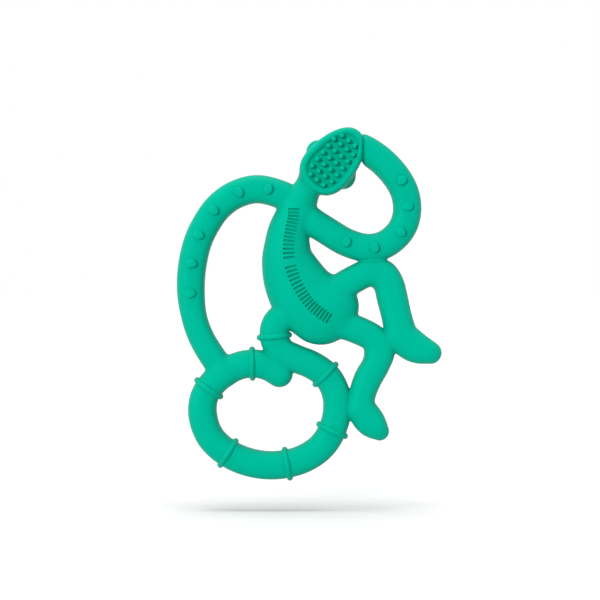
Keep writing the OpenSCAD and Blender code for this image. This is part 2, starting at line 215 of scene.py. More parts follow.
def oval_inset(x, z):
    """How far inside the head's outline a point lies: a tapered superellipse's value over its slope.

    With w = 1 - taper u / a, q = ((|u| / a)^n + (|v| / (b w))^n)^(1/n), and the inset is (1 - q) over
    the slope of q.
    """
    u, v = head_local(x, z)
    wide = np.clip(1 - HEAD_TAPER * u / HEAD_LONG, 0.5, 1.5)
    au, av = np.abs(u) / HEAD_LONG, np.abs(v) / (HEAD_SHORT * wide)
    q = (au ** HEAD_POWER + av ** HEAD_POWER + 1e-9) ** (1 / HEAD_POWER)
    narrowing = av ** HEAD_POWER * HEAD_TAPER / (HEAD_LONG * wide)
    along = np.sign(u) * au ** (HEAD_POWER - 1) / HEAD_LONG + narrowing
    across = av ** (HEAD_POWER - 1) / (HEAD_SHORT * wide)
    slope = np.sqrt(along ** 2 + across ** 2) / q ** (HEAD_POWER - 1)
    return (1 - q) / np.maximum(slope, 1 / 40)


def head_field():
    """Field of the head: the distance, in the plane of inset and depth, to the rounded profile.

    A point is taken to be inside if the middle of the head is inside at its depth, and this is turned
    over once for every wall between the point and the middle. A knot is an inset and a depth.
    """
    knots = np.array([[30, DISH_Y], [4, DISH_Y], [3.0, DISH_Y - 0.15], [2.45, DISH_Y - 0.6 * RIM],
                      [1.9, DISH_Y - 0.92 * RIM], [1.25, DISH_Y - 0.96 * RIM], [0.65, DISH_Y - 0.7 * RIM],
                      [0.25, DISH_Y], [0.05, DISH_Y + 1.0], [0, -3.2],
                      [0.1, -1], [0.4, 1], [1.1, 3], [2.2, 4.6], [3.7, 5.7], [5.5, 6.2], [8, FACE_Y],
                      [30, FACE_Y]])
    profile = profile_curve(knots, 6)
    cut, x, y, z = window((5, -99, 65), (35, 99, 95))
    inset = oval_inset(x, z)
    shape = (inset.shape[0], SHAPE[1], inset.shape[2])
    best = np.full(shape, 99.0, np.float32)
    inside = np.broadcast_to((y > DISH_Y) & (y < FACE_Y), shape).copy()
    for a, b in zip(profile[:-1], profile[1:]):
        step = b - a
        t = np.clip(((inset - a[0]) * step[0] + (y - a[1]) * step[1]) / (step @ step), 0, 1)
        away = (inset - a[0] - t * step[0]) ** 2 + (y - a[1] - t * step[1]) ** 2
        best = np.minimum(best, away)
        if step[1]:
            met = (a[1] > y) != (b[1] > y)
            inside ^= met & (inset < a[0] + (y - a[1]) / step[1] * step[0])
    away = np.minimum(np.sqrt(best), FAR)
    field = np.full(SHAPE, FAR, np.float32)
    field[cut] = np.where(inside, -away, away)
    return field


def profile_curve(knots, per_span):
    """Catmull-Rom curve through 2-D knots."""
    p = np.vstack([2 * knots[0] - knots[1], knots, 2 * knots[-1] - knots[-2]])
    u = np.linspace(0, len(knots) - 1, (len(knots) - 1) * per_span + 1)
    i = np.minimum(u.astype(int), len(knots) - 2)
    t = (u - i)[:, None]
    a, b, c, d = p[i], p[i + 1], p[i + 2], p[i + 3]
    return 0.5 * (2 * b + (c - a) * t + (2 * a - 5 * b + 4 * c - d) * t ** 2
                  + (3 * b - a - 3 * c + d) * t ** 3)


def ball(x0, z0, radius, flat):
    """Field of a ball flattened towards the plane Y = 0, as the flat tube's section is."""
    reach = radius + FAR
    cut, x, y, z = window((x0 - reach, -99, z0 - reach), (x0 + reach, 99, z0 + reach))
    away = np.sqrt((x - x0) ** 2 + (z - z0) ** 2)
    field = np.full(SHAPE, FAR, np.float32)
    field[cut] = section(away, y, radius, flat, BODY_POWER)
    return np.minimum(field, FAR)


def ear(x0, z0):
    """Field of a thick disc with rounded edges, standing behind the head's rim and dished on both sides."""
    cut, x, y, z = window((x0 - 10, -99, z0 - 10), (x0 + 10, 99, z0 + 10))
    away = np.sqrt((x - x0) ** 2 + (z - z0) ** 2)
    hollow = EAR_HOLLOW * np.exp(-(away / EAR_HOLLOW_R) ** 2)
    out = away - (EAR_R - EAR_EDGE)
    deep = np.abs(y - EAR_Y) - (EAR_HALF - EAR_EDGE) + hollow
    outside = np.sqrt(np.maximum(out, 0) ** 2 + np.maximum(deep, 0) ** 2)
    field = np.full(SHAPE, FAR, np.float32)
    field[cut] = outside + np.minimum(np.maximum(out, deep), 0) - EAR_EDGE
    return np.minimum(field, FAR)


def join(a, b, fillet):
    """Union of two fields with a fillet: the lesser one, less a quarter of the squared closeness."""
    close = np.maximum(fillet - np.abs(a - b), 0) / fillet
    return np.minimum(a, b) - close * close * fillet / 4


def near(x0, z0, reach):
    """1 at a spot in the plane Y = 0, falling smoothly to 0 at the reach."""
    away = np.sqrt((AXES[0][:, None, None] - x0) ** 2 + (AXES[2][None, None, :] - z0) ** 2)
    t = np.clip(1 - away / reach, 0, 1)
    return t * t * (3 - 2 * t) + 1e-3


def crease(width, *softer):
    """Width of a fillet everywhere, from a width and the spots where it is wider."""
    for x0, z0, reach, more in softer:
        width = width + more * near(x0, z0, reach)
    return width


def build_fields():
    """Fields of the moulded regions, and the field of the whole skin with its fillets."""
    line = lambda knots: smooth_line(knots, 0, len(knots) - 1)
    part = {
        "torso": join(tube(line(TORSO), TORSO_HALF), ball(*RUMP), RUMP_CREASE),
        "left_arm": tube(line(LEFT_ARM)),
        "arm_and_hand": tube(line(RIGHT_ARM)),
        "tail": tube(smooth_line(TAIL, 0, TIP_START)),
        "tip": tube(smooth_line(TAIL, TIP_START, len(TAIL) - 1)),
        "right_leg": tube(line(RIGHT_LEG)),
        "right_foot": tube(line(RIGHT_FOOT)),
        "left_leg": tube(line(LEFT_LEG)),
        "left_foot": tube(line(LEFT_FOOT)),
        "head": head_field(),
        "ears": np.minimum(ear(*EARS[0]), ear(*EARS[1])),
    }
    before = HAND_X - AXES[0][:, None, None] + 0 * part["tail"]
    upper = AXES[2][None, None, :] > HAND_LOW
    blunt = -join(-part["arm_and_hand"], -before, HAND_ROUND)
    part["arm_and_hand"] = np.where(upper, blunt, part["arm_and_hand"])
    cheek = -join(-part["head"], before + CHEEK_LAP, CHEEK_ROUND)
    part["head"] = np.maximum(cheek, part["head"])
    tail = join(part["tail"], part["tip"], crease(*TAIL_CREASE))
    head = join(part["head"], part["ears"], crease(*EAR_CREASE))
    right = join(part["right_leg"], part["right_foot"], HEEL_CREASE)
    left = join(part["left_leg"], part["left_foot"], HEEL_CREASE)
    skin = join(part["torso"], part["left_arm"], crease(*ARM_CREASE))
    skin = join(skin, part["arm_and_hand"], crease(*ARM_CREASE))
    skin = join(skin, tail, crease(*RING_CREASE))
    skin = join(skin, head, crease(*CHIN_CREASE))
    skin = join(skin, right, crease(*RIGHT_LEG_CREASE))
    skin = join(skin, left, crease(*LEFT_LEG_CREASE))
    return part, skin


# ---- from field to mesh -------------------------------------------------------------------------
def sample(field, points):
    """Trilinear value of a field at points, n x 3."""
    f = (points - LOW) / CELL
    i = np.clip(f.astype(int), 0, np.array(SHAPE) - 2)
    t = f - i
    total = 0
    for dx in (0, 1):
        for dy in (0, 1):
            for dz in (0, 1):
                w = ((t[:, 0] if dx else 1 - t[:, 0]) * (t[:, 1] if dy else 1 - t[:, 1])
                     * (t[:, 2] if dz else 1 - t[:, 2]))
                total = total + w * field[i[:, 0] + dx, i[:, 1] + dy, i[:, 2] + dz]
    return total


def surface_net(field):
    """Triangles on the field's zero level: one vertex a crossed cell, at the mean of its edges' crossings."""
    sign = field < 0
    corners = [(dx, dy, dz) for dx in (0, 1) for dy in (0, 1) for dz in (0, 1)]
    n = [k - 1 for k in SHAPE]
    block = lambda a, c: a[c[0]:c[0] + n[0], c[1]:c[1] + n[1], c[2]:c[2] + n[2]]
    count = sum(block(sign, c).astype(np.int8) for c in corners)
    cells = np.argwhere((count > 0) & (count < 8))
    index = np.full(n, -1)
    index[tuple(cells.T)] = np.arange(len(cells))
    total, hits = np.zeros((len(cells), 3)), np.zeros(len(cells))
    for c in corners:
        for axis in range(3):
            if c[axis]:
                continue
            d = list(c)
            d[axis] = 1
            a = field[tuple((cells + c).T)]
            b = field[tuple((cells + d).T)]
            cross = (a < 0) != (b < 0)
            t = np.where(cross, a / np.where(cross, a - b, 1), 0)
            spot = np.array(c, float) + np.zeros((len(cells), 3))
            spot[:, axis] += t
            total += spot * cross[:, None]
            hits += cross
    points = LOW + CELL * (cells + total / hits[:, None])
    faces = []
    for axis in range(3):
        u, v = [(1, 2), (2, 0), (0, 1)][axis]
        ahead = [0, 0, 0]
        ahead[axis] = 1
        low = sign[:SHAPE[0] - ahead[0], :SHAPE[1] - ahead[1], :SHAPE[2] - ahead[2]]
        high = sign[ahead[0]:, ahead[1]:, ahead[2]:]
        for starts_in in (True, False):
            edge = np.argwhere((low == starts_in) & (high != starts_in))
            edge = edge[(edge[:, u] > 0) & (edge[:, v] > 0)]
            quad = []
            for du, dv in ((1, 1), (0, 1), (0, 0), (1, 0)):
                cell = edge.copy()
                cell[:, u] -= du
                cell[:, v] -= dv
                quad.append(index[tuple(cell.T)])
            quad = np.array(quad).T
            if not starts_in:
                quad = quad[:, ::-1]
            faces += [quad[:, [0, 1, 2]], quad[:, [0, 2, 3]]]
    return points, np.vstack(faces)


def relax(points, faces, field, slope, rounds=4):
    """Evens the mesh: each vertex moves to its neighbours' mean, then along the slope back to the skin."""
    pairs = np.vstack([faces[:, [0, 1]], faces[:, [1, 2]], faces[:, [2, 0]]])
    for k in range(rounds + 2):
        if k < rounds:
            total = np.stack([np.bincount(pairs[:, 0], points[pairs[:, 1], j], len(points))
                              for j in range(3)], 1)
            degree = np.bincount(pairs[:, 0], minlength=len(points))
            points = 0.5 * points + 0.5 * total / degree[:, None]
        g = np.stack([sample(s, points) for s in slope], 1)
        points = points - g * (sample(field, points) / np.maximum((g * g).sum(1), 0.05))[:, None]
    return points


# ---- from one skin to the moulded regions ---------------------------------------------------------
def past_cut(points, line, at):
    """Signed distance past the plane across a line at a knot parameter.

    Near the cut it is the distance from the plane. Elsewhere it is a fixed length, negative before the
    cut and positive after it, by the nearest point of the line.
    """
    away = ((points[:, None, 0] - line[None, :, 0]) ** 2 + (points[:, None, 2] - line[None, :, 1]) ** 2)
    u = line[away.argmin(1), 3]
    i = int(np.abs(line[:, 3] - at).argmin())
    i = min(max(i, 1), len(line) - 2)
    spot = [np.interp(at, line[:, 3], line[:, k]) for k in (0, 1)]
    way = line[i + 1, :2] - line[i - 1, :2]
    way = way / np.linalg.norm(way)
    plane = (points[:, 0] - spot[0]) * way[0] + (points[:, 2] - spot[1]) * way[1]
    return np.where(np.abs(u - at) < NEAR_CUT, plane, PAST_CUT * np.sign(u - at))


def region_scores(points, part):
    """Distance of each vertex to each moulded region; a vertex belongs to the region of its least score.

    Neighbours on one limb share its field, and the plane of the cut between them adds what is past it.
    """
    d = {name: sample(field, points) for name, field in part.items()}
    arm = smooth_line(RIGHT_ARM, 0, len(RIGHT_ARM) - 1)
    tail = smooth_line(TAIL, 0, len(TAIL) - 1)
    wrist = past_cut(points, arm, WRIST)
    root = past_cut(points, tail, ROOT_END)
    tip = past_cut(points, tail, TIP_START)
    ankles = {}
    for side, leg, at in (("right", RIGHT_LEG, RIGHT_ANKLE), ("left", LEFT_LEG, LEFT_ANKLE)):
        line = smooth_line(leg, 0, len(leg) - 1)
        ankles[side] = past_cut(points, line, at)
        away = np.minimum(d[side + "_leg"], d[side + "_foot"])
        d[side + "_leg"], d[side + "_foot"] = away, away
    over = lambda s: np.maximum(s, 0)
    scores = {
        "torso": d["torso"], "head": d["head"], "ears": d["ears"], "left_arm": d["left_arm"],
        "right_arm": d["arm_and_hand"] + over(wrist), "right_hand": d["arm_and_hand"] + over(-wrist),
        "right_leg": d["right_leg"] + over(ankles["right"]),
        "right_foot": d["right_foot"] + over(-ankles["right"]),
        "left_leg": d["left_leg"] + over(ankles["left"]),
        "left_foot": d["left_foot"] + over(-ankles["left"]),
        "tail_root": d["tail"] + over(root), "tail_ring": d["tail"] + over(-root) + over(tip),
        "tail_tip": d["tip"] + over(-tip),
    }
    return list(scores), np.stack(list(scores.values()), 1)


def split_regions(points, faces, scores):
    """Cuts every triangle whose corners belong to two or three regions along the line of equal score.

    Returns the points with the new ones added, and the triangles with the region of each.
    """
    label = scores.argmin(1)
    lab = label[faces]
    same = (lab[:, 0] == lab[:, 1]) & (lab[:, 1] == lab[:, 2])
    out, regions = [faces[same]], [lab[same, 0]]
    f, l = faces[~same], lab[~same]
    edges = np.sort(np.vstack([f[:, [0, 1]], f[:, [1, 2]], f[:, [2, 0]]]), 1)
    edges = np.unique(edges, axis=0)
    edges = edges[label[edges[:, 0]] != label[edges[:, 1]]]
    i, j = edges.T
    gi = scores[i, label[j]] - scores[i, label[i]]
    gj = scores[j, label[i]] - scores[j, label[j]]
    t = np.clip(gi / np.maximum(gi + gj, 1e-9), 0.04, 0.96)[:, None]
    middle = points[i] * (1 - t) + points[j] * t
    first_new = len(points)
    lookup = lambda a, b: first_new + np.searchsorted(codes, np.minimum(a, b) * big + np.maximum(a, b))
    big = first_new + 1
    codes = edges[:, 0] * big + edges[:, 1]
    for turn in range(3):
        a, b, c = (f[:, (turn + k) % 3] for k in range(3))
        la, lb, lc = (l[:, (turn + k) % 3] for k in range(3))
        odd = (la == lb) & (lc != la)
        a, b, c, la, lc = a[odd], b[odd], c[odd], la[odd], lc[odd]
        p, q = lookup(a, c), lookup(b, c)
        out += [np.stack([q, c, p], 1), np.stack([a, b, q], 1), np.stack([a, q, p], 1)]
        regions += [lc, la, la]
    triple = (l[:, 0] != l[:, 1]) & (l[:, 1] != l[:, 2]) & (l[:, 2] != l[:, 0])
    f, l = f[triple], l[triple]
    centre = first_new + len(middle) + np.arange(len(f))
    for turn in range(3):
        a, b, c = (f[:, (turn + k) % 3] for k in range(3))
        out += [np.stack([a, lookup(a, b), centre], 1), np.stack([a, centre, lookup(c, a)], 1)]
        regions += [l[:, turn], l[:, turn]]
    points = np.vstack([points, middle, points[f].mean(1) if len(f) else np.zeros((0, 3))])
    return points, np.vstack(out), np.concatenate(regions)


def tidy_labels(points, faces, scores, smallest=60):
    """Gives small islands of a region to the region round them, by raising their score."""
    for _ in range(3):
        label = scores.argmin(1)
        pairs = np.vstack([faces[:, [0, 1]], faces[:, [1, 2]], faces[:, [2, 0]]])
        pairs = pairs[label[pairs[:, 0]] == label[pairs[:, 1]]]
        island = np.arange(len(points))
        while True:
            low = island.copy()
            np.minimum.at(low, pairs[:, 0], island[pairs[:, 1]])
            np.minimum.at(low, pairs[:, 1], island[pairs[:, 0]])
            low = low[low]
            if (low == island).all():
                break
            island = low
        size = np.bincount(island, minlength=len(points))[island]
        small = size < smallest
        if not small.any():
            break
        scores[small, label[small]] += 20
    return scores


def rims(faces):
    """Closed rings of vertices along a region's open edges, each in the order of its skin."""
    edges = np.vstack([faces[:, [0, 1]], faces[:, [1, 2]], faces[:, [2, 0]]])
    big = edges.max() + 1
    codes, back = edges[:, 0] * big + edges[:, 1], edges[:, 1] * big + edges[:, 0]
    open_edges = edges[~np.isin(codes, back)]
    after = {}
    for a, b in open_edges.tolist():
        after.setdefault(a, []).append(b)
    rings = []
    while after:
        start = next(iter(after))
        ring, here = [start], start
        while True:
            nexts = after[here]
            there = nexts.pop()
            if not nexts:
                del after[here]
            if there == start or there not in after:
                break
            ring.append(there)
            here = there
        rings.append(ring)
    return rings


def closed_region(points, faces, normals):
    """One region with a fan over each of its open rims. Returns points, triangles and corner normals."""
    used, faces = np.unique(faces, return_inverse=True)
    faces = faces.reshape(-1, 3)
    points, normals = points[used], normals[used]
    caps, extra = [], []
    for ring in rims(faces):
        ring = np.array(ring)
        middle = len(points) + len(extra)
        extra.append(points[ring].mean(0))
        caps.append(np.stack([np.roll(ring, -1), ring, np.full(len(ring), middle)], 1))
    corner = normals[faces]
    if caps:
        caps = np.vstack(caps)
        points = np.vstack([points, extra])
        flat = np.cross(points[caps[:, 1]] - points[caps[:, 0]], points[caps[:, 2]] - points[caps[:, 0]])
        flat /= np.maximum(np.linalg.norm(flat, axis=1), 1e-12)[:, None]
        corner = np.concatenate([corner, np.repeat(flat[:, None], 3, 1)])
        faces = np.vstack([faces, caps])
    return points, faces, corner.reshape(-1, 3)


def put_mesh(name, points, faces, corner_normals=None):
    """A mesh object at the origin from points in millimetres and faces of three or four corners."""
    mesh = bpy.data.meshes.new(name)
    faces = np.asarray(faces, np.int32)
    per = faces.shape[1]
    mesh.vertices.add(len(points))
    mesh.vertices.foreach_set("co", (np.asarray(points) * MM).astype(np.float32).ravel())
    mesh.loops.add(faces.size)
    mesh.loops.foreach_set("vertex_index", faces.ravel())
    mesh.polygons.add(len(faces))
    mesh.polygons.foreach_set("loop_start", np.arange(len(faces), dtype=np.int32) * per)
    mesh.polygons.foreach_set("use_smooth", np.ones(len(faces), bool))
    mesh.update(calc_edges=True)
    mesh.validate()
    if corner_normals is not None and len(corner_normals) == len(mesh.loops):
        mesh.normals_split_custom_set(corner_normals.astype(float).tolist())
    obj = bpy.data.objects.new(name, mesh)
    bpy.context.scene.collection.objects.link(obj)
    return obj


def settle(obj, node):
    """The piece rides on the one body, stands for its CAD node and takes the silicone slot."""
    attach(obj, "root")
    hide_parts(node)
    obj.data.materials.append(SILICONE)
    return obj


# ---- surfaces of revolution and bands -------------------------------------------------------------
def rounded_profile(radius, height, edge, flare, sink):
    """Side of a round stub, from below its foot to its middle: a flared foot, a wall and a soft top edge.

    Rows of distance from the axis and height.
    """
    a = np.linspace(0, math.pi / 2, 6)
    foot = np.stack([radius + flare * (1 - np.sin(a)), flare * (1 - np.cos(a))], 1)
    top = np.stack([radius - edge * (1 - np.cos(a)), height - edge * (1 - np.sin(a))], 1)
    crown = np.array([[(radius - edge) * 0.5, height + 0.02 * radius], [0, height + 0.03 * radius]])
    return np.vstack([[radius + flare, -sink], foot, top, crown])


def revolve_faces(rows, turns):
    """Faces of a closed surface of revolution on a grid of rows x turns, with its foot and its top closed."""
    i, k = np.meshgrid(np.arange(rows - 1), np.arange(turns), indexing="ij")
    a = i * turns + k
    b = i * turns + (k + 1) % turns
    quads = np.stack([a, b, b + turns, a + turns], -1).reshape(-1, 4)
    tris = np.vstack([quads[:, [0, 1, 2]], quads[:, [0, 2, 3]]])
    foot = rows * turns
    k = np.arange(turns)
    base = np.stack([np.full(turns, foot), (k + 1) % turns, k], 1)
    return np.vstack([tris, base])


def stubs(name, node, spots, place, profile, turns):
    """Round stubs, one a spot: a profile turned about its axis, then laid on the limb by place.

    place(spot, u, v, height) takes arrays of the two distances across the axis and the height above the skin.
    """
    angle = np.arange(turns) * 2 * math.pi / turns
    u = (profile[:, :1] * np.cos(angle)).ravel()
    v = (profile[:, :1] * np.sin(angle)).ravel()
    h = np.repeat(profile[:, 1], turns)
    u, v, h = np.append(u, 0), np.append(v, 0), np.append(h, profile[0, 1])
    pattern = revolve_faces(len(profile), turns)
    points, faces = [], []
    for n, spot in enumerate(spots):
        points.append(place(spot, u, v, h))
        faces.append(pattern + n * len(u))
    points, faces = np.vstack(points), np.vstack(faces)
    points, faces = weld_poles(points, faces)
    obj = put_mesh(name, points, outward(points, faces))
    return settle(obj, node)


def weld_poles(points, faces):
    """Merges points that fall on one another, and drops the faces that collapse."""
    key, back = np.unique(np.round(points, 4), axis=0, return_inverse=True)
    faces = back.ravel()[faces]
    keep = (faces[:, 0] != faces[:, 1]) & (faces[:, 1] != faces[:, 2]) & (faces[:, 2] != faces[:, 0])
    return key, faces[keep]


def outward(points, faces):
    """Turns all faces round if the surface's signed volume is negative."""
    a, b, c = (points[faces[:, k]] for k in range(3))
    volume = np.einsum("ij,ij->i", a, np.cross(b, c)).sum()
    return faces if volume > 0 else faces[:, ::-1]


def on_limb(line, side):
    """Placing rule for a stub on a round limb: u runs along it, v is bent round it, and height is outward.

    side is -1 for the front and 1 for the back.
    """
    def place(spot, u, v, h):
        i = int(((line[:, :2] - np.array(spot)) ** 2).sum(1).argmin())
        i = min(max(i, 1), len(line) - 2)
        way = line[i + 1, :2] - line[i - 1, :2]
        way = way / np.linalg.norm(way)
        r = line[i, 2]
        turn = v / r
        across = np.sin(turn) * (r + h)
        return np.stack([spot[0] + way[0] * u - way[1] * across,
                         side * np.cos(turn) * (r + h),
                         spot[1] + way[1] * u + way[0] * across], 1)
    return place


def band(line, at):
    """Half-round band round a limb at a knot parameter: a profile along the limb, carried round it."""
    spot = [np.interp(at, line[:, 3], line[:, k]) for k in (0, 1, 2)]
    i = min(max(int(np.abs(line[:, 3] - at).argmin()), 1), len(line) - 2)
    way = line[i + 1, :2] - line[i - 1, :2]
    way = way / np.linalg.norm(way)
    a = np.linspace(0, math.pi / 2, 6)
    b = np.linspace(0, math.pi, 15)
    rise = RIDGE_H - RIDGE_HALF
    foot = RIDGE_HALF + RIDGE_FLARE
    left = np.stack([-RIDGE_HALF - RIDGE_FLARE * (1 - np.sin(a)), RIDGE_FLARE * (1 - np.cos(a)) - 0.03], 1)
    top = np.stack([-RIDGE_HALF * np.cos(b), rise + RIDGE_HALF * np.sin(b)], 1)
    right = left[::-1] * [-1, 1]
    side = np.vstack([[[-foot, -RIDGE_SUNK]], left[:-1], top[top[:, 1] > RIDGE_FLARE * 0.6], right[1:],
                      [[foot, -RIDGE_SUNK]]])
    turns = 64
    angle = np.arange(turns) * 2 * math.pi / turns
    r = spot[2] + side[:, 1:2]
    along = side[:, :1] + 0 * angle
    across, deep = r * np.cos(angle), r * np.sin(angle)
    points = np.stack([spot[0] + way[0] * along - way[1] * across, deep,
                       spot[1] + way[1] * along + way[0] * across], -1).reshape(-1, 3)
    i, k = np.meshgrid(np.arange(len(side)), np.arange(turns), indexing="ij")
    p = i * turns + k
    q = i * turns + (k + 1) % turns
    down = ((i + 1) % len(side)) * turns
    quads = np.stack([p, q, down + (k + 1) % turns, down + k], -1).reshape(-1, 4)
    return points, np.vstack([quads[:, [0, 1, 2]], quads[:, [0, 2, 3]]])


# ---- material -------------------------------------------------------------------------------------
def srgb(code):
    """Linear colour of an sRGB hex code."""
    parts = [int(code[i:i + 2], 16) / 255 for i in (1, 3, 5)]
    return [c / 12.92 if c <= 0.04045 else ((c + 0.055) / 1.055) ** 2.4 for c in parts] + [1.0]


def add(tree, kind, settings=None, links=None):
    """Adds a node, sets its properties and sockets by name, and links other nodes' outputs into it."""
    made = tree.nodes.new(kind)
    for key, value in (settings or {}).items():
        if isinstance(key, str) and key.islower():
            setattr(made, key, value)
        else:
            made.inputs[key].default_value = value
    for key, source in (links or {}).items():
        tree.links.new(source, made.inputs[key])
    return made


def new_material(name):
    """An empty node material, its tree, and the object's own coordinates as a node output."""
    material = bpy.data.materials.new(name)
    material.use_nodes = True
    tree = material.node_tree
    tree.nodes.clear()
    place = add(tree, "ShaderNodeTexCoord").outputs["Object"]
    return material, tree, place


def silicone():
    """Moulded platinum-cured silicone: an even satin skin with broad, dull highlights.

    A cloudy drift of a few per cent keeps the colour from looking printed, the fine grain is the
    bead-blasted wall of the mould, and the hairline at Y = 0 is where its two halves met.
    """
    material, tree, place = new_material("platinum_silicone_satin")
    cloud = add(tree, "ShaderNodeTexNoise", {"Scale": CLOUDS, "Detail": 2.0}, {"Vector": place})
    colour = add(tree, "ShaderNodeMix", {"data_type": "RGBA", 6: srgb(TEAL_LOW), 7: srgb(TEAL_HIGH)},
                 {0: cloud.outputs["Fac"]})
    gloss = add(tree, "ShaderNodeMapRange", {"To Min": ROUGH - ROUGH_DRIFT, "To Max": ROUGH + ROUGH_DRIFT},
                {"Value": cloud.outputs["Fac"]})
    grain = add(tree, "ShaderNodeTexNoise", {"Scale": 1 / (GRAIN_MM * MM), "Detail": 3.0}, {"Vector": place})
    matte = add(tree, "ShaderNodeBump", {"Strength": 0.35, "Distance": GRAIN_DEEP_MM * MM},
                {"Height": grain.outputs["Fac"]})
    split = add(tree, "ShaderNodeSeparateXYZ", None, {"Vector": place})
    away = add(tree, "ShaderNodeMath", {"operation": "ABSOLUTE"}, {0: split.outputs["Y"]})
    line = add(tree, "ShaderNodeMapRange", {"interpolation_type": "SMOOTHSTEP", "From Min": 0.0,
                                            "From Max": SEAM_MM * MM, "To Min": 1.0, "To Max": 0.0},
               {"Value": away.outputs[0]})
    parting = add(tree, "ShaderNodeBump", {"Strength": 0.6, "Distance": SEAM_HIGH_MM * MM},
                  {"Height": line.outputs[0], "Normal": matte.outputs[0]})
    skin = add(tree, "ShaderNodeBsdfPrincipled",
               {"IOR": 1.41, "Specular IOR Level": SHEEN, "Specular Tint": srgb(TEAL_SHEEN),
                "Subsurface Weight": 0.12, "Subsurface Radius": (0.2, 1.0, 0.8),
                "Subsurface Scale": 1.2 * MM},
               {"Base Color": colour.outputs[2], "Roughness": gloss.outputs[0],
                "Normal": parting.outputs[0]})
    add(tree, "ShaderNodeOutputMaterial", None, {"Surface": skin.outputs[0]})
    return material


SILICONE = silicone()


# ---- the skin, cut into its moulded regions ---------------------------------------------------------
part, skin = build_fields()
slope = [g.astype(np.float32) for g in np.gradient(skin, CELL)]


def skin_normal(points):
    """Outward normal of the skin's field at points."""
    g = np.stack([sample(k, points) for k in slope], 1)
    return g / np.maximum(np.linalg.norm(g, axis=1), 1e-9)[:, None]


def front_of(x, z):
    """The skin's front surface at points of the plane Y = 0: the first crossing met from the front."""
    y = np.linspace(-8.4, 0, 169)
    grid = np.stack([np.repeat(x, len(y)), np.tile(y, len(x)), np.repeat(z, len(y))], 1)
    f = sample(skin, grid).reshape(len(x), -1)
    i = np.maximum((f < 0).argmax(1), 1)
    rows = np.arange(len(x))
    before, after = f[rows, i - 1], f[rows, i]
    return y[i - 1] + (y[i] - y[i - 1]) * before / np.maximum(before - after, 1e-9)


def mould():
    """Meshes the skin and cuts it into closed regions. Returns {region: object}."""
    points, faces = surface_net(skin)
    points = relax(points, faces, skin, slope)
    names, scores = region_scores(points, part)
    scores = tidy_labels(points, faces, scores)
    points, faces, region = split_regions(points, faces, scores)
    normals = skin_normal(points)
    made = {}
    for k, name in enumerate(names):
        mesh = closed_region(points, faces[region == k], normals)
        made[name] = settle(put_mesh(name + "_skin", *mesh), name)
    return made


# ---- grooves ----------------------------------------------------------------------------------------
def groove_cutters():
    """Rounded bars across the body, all sunk as deep below the skin, whose walls narrow at the bottom."""
    line = smooth_line(GROOVE_LINE, 0, len(GROOVE_LINE) - 1, 0.2)
    spots = []
    for low, high in GROOVE_SPANS:
        count = int((high - low) * GROOVE_KNOT / GROOVE_PITCH)
        spots += list(np.linspace(low, high, count + 1))
    x, z = (np.interp(spots, line[:, 3], line[:, k]) for k in (0, 1))
    turn = np.gradient(line[:, :2], axis=0)
    way = np.stack([np.interp(spots, line[:, 3], turn[:, k]) for k in (0, 1)], 1)
    way /= np.linalg.norm(way, axis=1)[:, None]
    front = front_of(x, z)
    angle = np.linspace(0, 2 * math.pi, 16, endpoint=False) + math.pi / 16
    straight = (GROOVE_HALF_LENGTH - GROOVE_HALF) * np.sign(np.cos(angle))
    points, faces = [], []
    for n in range(len(spots)):
        across, along, deep = [], [], []
        for depth, wider in GROOVE_ROWS:
            across.append(straight + (GROOVE_HALF + wider) * np.cos(angle))
            along.append((GROOVE_HALF + wider) * np.sin(angle))
            deep.append(np.full(len(angle), front[n] + depth))
        across, along, deep = (np.concatenate(k) for k in (across, along, deep))
        block = np.stack([x[n] - way[n, 1] * across + way[n, 0] * along, deep,
                          z[n] + way[n, 0] * across + way[n, 1] * along], 1)
        base = n * (len(block) + 2)
        mouth, bottom = GROOVE_ROWS[0][0], GROOVE_ROWS[-1][0]
        middle = np.array([[x[n], front[n] + mouth, z[n]], [x[n], front[n] + bottom, z[n]]])
        points.append(np.vstack([block, middle]))
        rows, turns = len(GROOVE_ROWS), len(angle)
        i, k = np.meshgrid(np.arange(rows - 1), np.arange(turns), indexing="ij")
        a, b = i * turns + k, i * turns + (k + 1) % turns
        walls = np.stack([a, b, b + turns, a + turns], -1).reshape(-1, 4)
        k = np.arange(turns)
        top = np.stack([np.full(turns, rows * turns), (k + 1) % turns, k], 1)
        last = (rows - 1) * turns
        low = np.stack([np.full(turns, rows * turns + 1), last + k, last + (k + 1) % turns], 1)
        faces.append(np.vstack([walls[:, [0, 1, 2]], walls[:, [0, 2, 3]], top, low]) + base)
    points, faces = np.vstack(points), np.vstack(faces)
    return put_mesh("groove_cutters", points, outward(points, faces))


